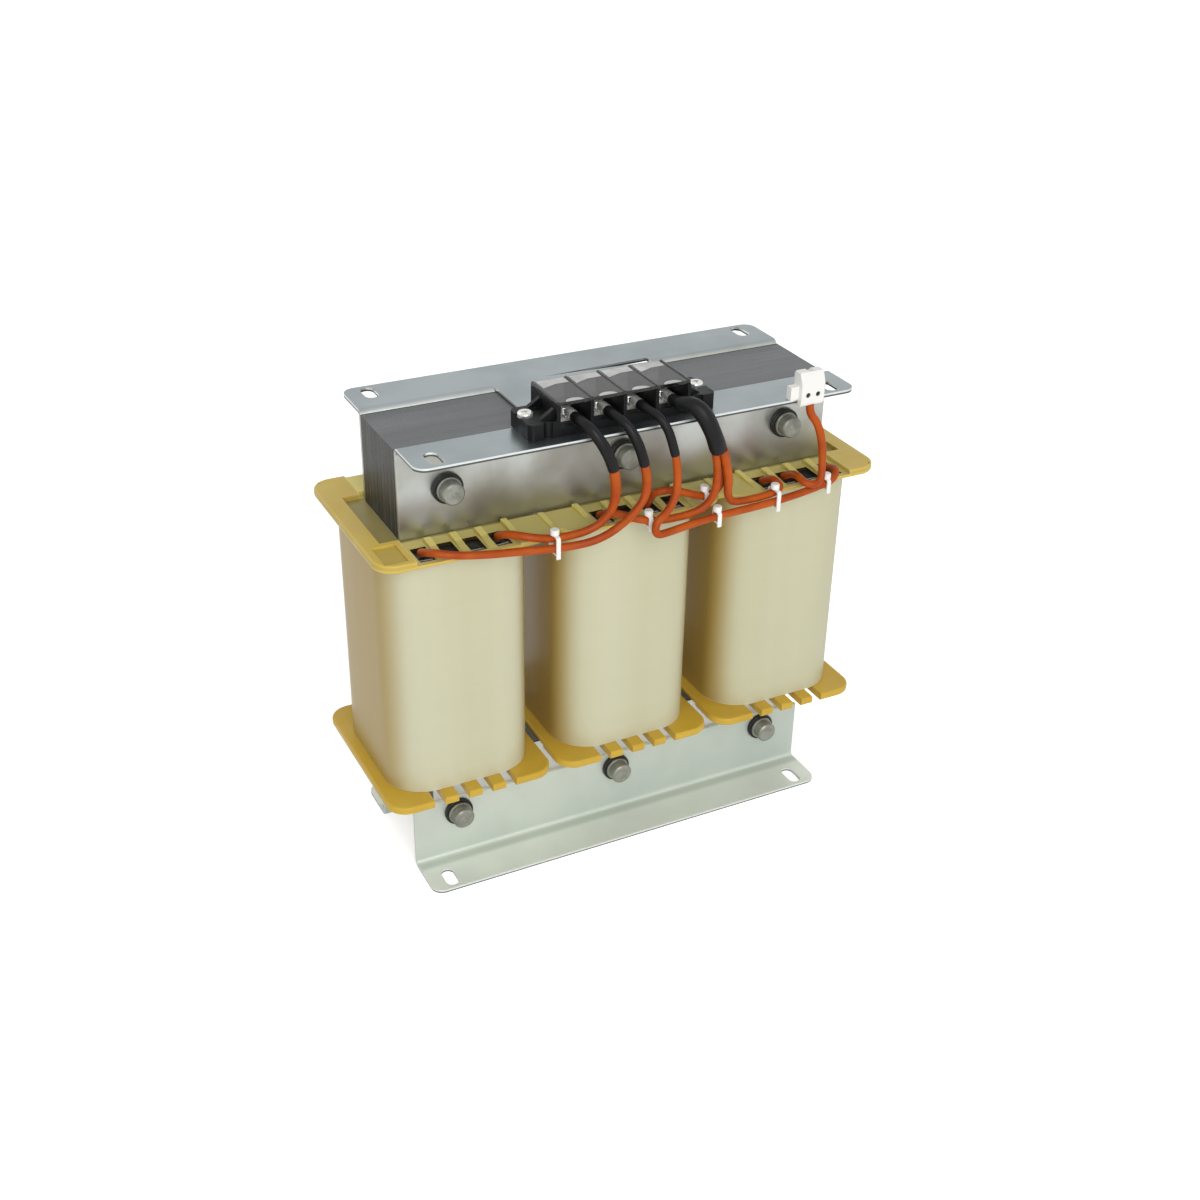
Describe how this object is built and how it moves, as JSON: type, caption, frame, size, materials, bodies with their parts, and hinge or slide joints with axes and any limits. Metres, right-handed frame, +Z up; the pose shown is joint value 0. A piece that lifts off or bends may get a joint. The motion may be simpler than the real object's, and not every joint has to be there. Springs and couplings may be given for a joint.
{
  "type": "shunt reactor",
  "caption": "Three-phase iron-core shunt reactor: wound legs between laminated yokes, folded steel clamps with slotted flanges, a covered terminal block and a tied lead harness.",
  "frame": {"origin": "centre of the footprint, in the plane of the undersides of the two foot flanges", "axes": "+X along the yokes to the connector end, -Y to the terminal and lead side, +Z up"},
  "size_m": [0.281, 0.1206, 0.2643],
  "materials": {
    "core_steel": "varnished lamination edges",
    "gap_board": "hard laminate",
    "zinc_sheet": "zinc-coated sheet",
    "bolt_steel": "dark phosphate",
    "black_washer": "moulded insulation",
    "yellow_moulding": "semi-gloss moulded, glass filled",
    "copper": "enamelled copper wire",
    "cream_wrap": "insulating film tape",
    "black_moulding": "moulded",
    "clear_cover": "clear, slightly smoked",
    "tinned_metal": "tin plated",
    "plated_screw": "nickel plated",
    "lead_insulation": "extruded insulation, satin",
    "shrink_sleeve": "shrunk tubing",
    "white_nylon": "satin moulding"
  },
  "bodies": {
    "root": {"core_upper_yoke": "core_steel", "core_lower_yoke": "core_steel", "core_leg_left": "core_steel", "core_leg_middle": "core_steel", "core_leg_right": "core_steel", "air_gap_spacers": "gap_board", "upper_clamp_front": "zinc_sheet", "upper_clamp_rear": "zinc_sheet", "lower_clamp_front": "zinc_sheet", "lower_clamp_rear": "zinc_sheet", "clamp_bolts": "bolt_steel", "clamp_nuts": "bolt_steel", "front_washers": "black_washer", "rear_washers": "black_washer", "coil_former_left": "yellow_moulding", "coil_former_middle": "yellow_moulding", "coil_former_right": "yellow_moulding", "winding_left": "copper", "winding_middle": "copper", "winding_right": "copper", "coil_wrap_left": "cream_wrap", "coil_wrap_middle": "cream_wrap", "coil_wrap_right": "cream_wrap", "terminal_block": "black_moulding", "terminal_cover": "clear_cover", "terminal_plates": "tinned_metal", "terminal_screws": "plated_screw", "cable_lugs": "tinned_metal", "block_screws": "plated_screw", "block_nuts": "plated_screw", "lead_1": "lead_insulation", "lead_2": "lead_insulation", "lead_3": "lead_insulation", "star_lead_1": "lead_insulation", "star_lead_2": "lead_insulation", "star_lead_3": "lead_insulation", "sensor_lead": "lead_insulation", "sleeve_1": "shrink_sleeve", "sleeve_2": "shrink_sleeve", "sleeve_3": "shrink_sleeve", "star_sleeve": "shrink_sleeve", "sensor_plug": "white_nylon", "cable_ties": "white_nylon", "thermal_switch": "black_moulding"}
  },
  "joints": []
}
